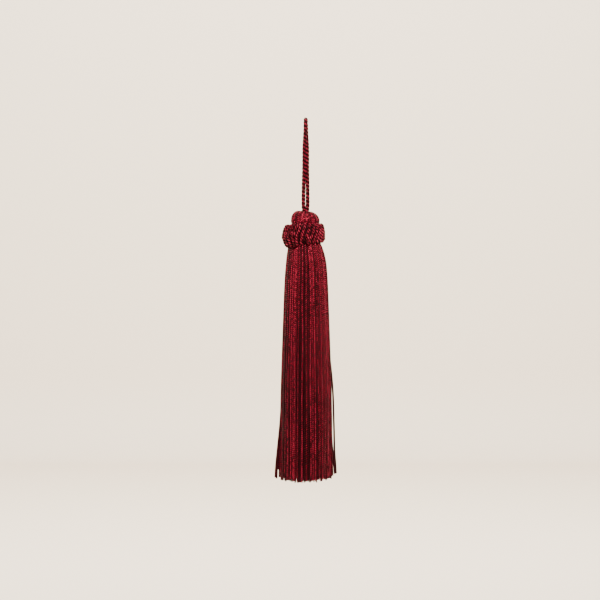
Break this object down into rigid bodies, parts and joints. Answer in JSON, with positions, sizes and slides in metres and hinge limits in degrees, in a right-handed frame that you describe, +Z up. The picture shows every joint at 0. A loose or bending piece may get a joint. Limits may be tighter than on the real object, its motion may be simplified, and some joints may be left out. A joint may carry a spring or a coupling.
{
  "type": "tassel",
  "caption": "Hanging tassel with a twisted cord loop, a round folded head, a knotted cord collar round the neck and a long skirt of loose threads.",
  "frame": {"origin": "inside of the top of the hanging loop, where a hook bears", "axes": "+Z up along the hanging tassel, -Y towards the viewer of the front, +X to that viewer's right"},
  "size_m": [0.0319, 0.027, 0.1878],
  "materials": {
    "thread": "satin crimson twisted thread",
    "collar_cord": "satin crimson twisted cord",
    "loop_cord": "satin crimson twisted cord"
  },
  "bodies": {
    "root": {"head_and_skirt": "thread", "collar": "collar_cord", "hanging_loop": "loop_cord"}
  },
  "joints": []
}
